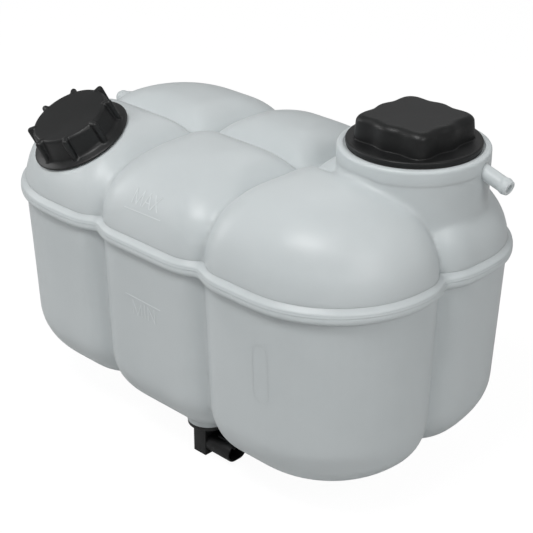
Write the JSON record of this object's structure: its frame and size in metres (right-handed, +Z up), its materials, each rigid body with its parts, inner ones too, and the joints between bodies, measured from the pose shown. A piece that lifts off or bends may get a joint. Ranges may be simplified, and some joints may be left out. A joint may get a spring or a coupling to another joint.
{
  "type": "coolant expansion tank",
  "caption": "Translucent coolant expansion tank of blended chambers in two welded halves, with a valve cap, a filler cap and a level sensor.",
  "frame": {"origin": "centre of the mounting boss pattern, at the bosses' faces under the tank", "axes": "+X along the long side towards the valve neck, +Y towards the back row, +Z up"},
  "size_m": [0.4583, 0.247, 0.295],
  "materials": {
    "tank_plastic": "satin translucent grey-white polypropylene",
    "cap_plastic": "satin black moulded plastic",
    "insert_plastic": "dark grey moulded plastic",
    "seal_rubber": "black seal rubber",
    "spring_steel": "bright spring wire",
    "plate_metal": "plain stamped steel",
    "brass": "turned brass",
    "float_plastic": "matt float",
    "magnet": "sintered magnet",
    "reed_glass": "clear glass capsule"
  },
  "bodies": {
    "tank": {"upper_shell": "tank_plastic", "lower_shell": "tank_plastic", "mount_inserts": "brass", "sensor_body": "cap_plastic", "sensor_pins": "plate_metal", "sensor_grommet": "seal_rubber", "float_clip": "spring_steel", "reed_switch": "reed_glass"},
    "insert_group": {"valve_insert": "insert_plastic", "insert_o_ring": "seal_rubber", "spring_retainer": "insert_plastic", "pressure_spring": "spring_steel"},
    "valve_cap_group": {"valve_cap": "cap_plastic", "cap_gasket": "seal_rubber"},
    "pressure_valve_group": {"pressure_plate": "plate_metal", "pressure_seal": "seal_rubber", "vacuum_spring": "spring_steel"},
    "vacuum_valve_group": {"vacuum_valve": "brass"},
    "filler_insert_group": {"filler_insert": "insert_plastic", "filler_gasket": "seal_rubber", "filler_o_ring": "seal_rubber"},
    "filler_cap_group": {"filler_cap": "cap_plastic"},
    "float_group": {"float": "float_plastic", "float_magnet": "magnet"}
  },
  "joints": [
    {"name": "valve_cap_rise", "type": "slide", "parent": "tank", "child": "insert_group", "axis": [0, 0, 1], "range_m": [0, 0.0201]},
    {"name": "valve_cap_turn", "type": "hinge", "parent": "insert_group", "child": "valve_cap_group", "pos_m": [0.138, 0.036, 0.251], "axis": [0, 0, 1], "range_deg": [0, 900]},
    {"name": "pressure_valve_lift", "type": "slide", "parent": "insert_group", "child": "pressure_valve_group", "axis": [0, 0, 1], "range_m": [0, 0.003], "stiffness_N_per_m": 3000, "springref_m": -0.004, "deforming": ["pressure_spring"]},
    {"name": "vacuum_valve_drop", "type": "slide", "parent": "pressure_valve_group", "child": "vacuum_valve_group", "axis": [0, 0, -1], "range_m": [0, 0.002], "stiffness_N_per_m": 250, "springref_m": -0.002, "deforming": ["vacuum_spring"]},
    {"name": "filler_cap_rise", "type": "slide", "parent": "tank", "child": "filler_insert_group", "axis": [-0.1021, -0.4424, 0.891], "range_m": [0, 0.0101]},
    {"name": "filler_cap_turn", "type": "hinge", "parent": "filler_insert_group", "child": "filler_cap_group", "pos_m": [-0.122, -0.0765, 0.217], "axis": [-0.1021, -0.4424, 0.891], "range_deg": [0, 720]},
    {"name": "float_rise", "type": "slide", "parent": "tank", "child": "float_group", "axis": [0, 0, 1], "range_m": [0, 0.045]}
  ],
  "couplings": [
    {"joint": "valve_cap_rise", "follows": "valve_cap_turn", "m_per_rad": 0.0012732},
    {"joint": "filler_cap_rise", "follows": "filler_cap_turn", "m_per_rad": 0.00079577}
  ]
}
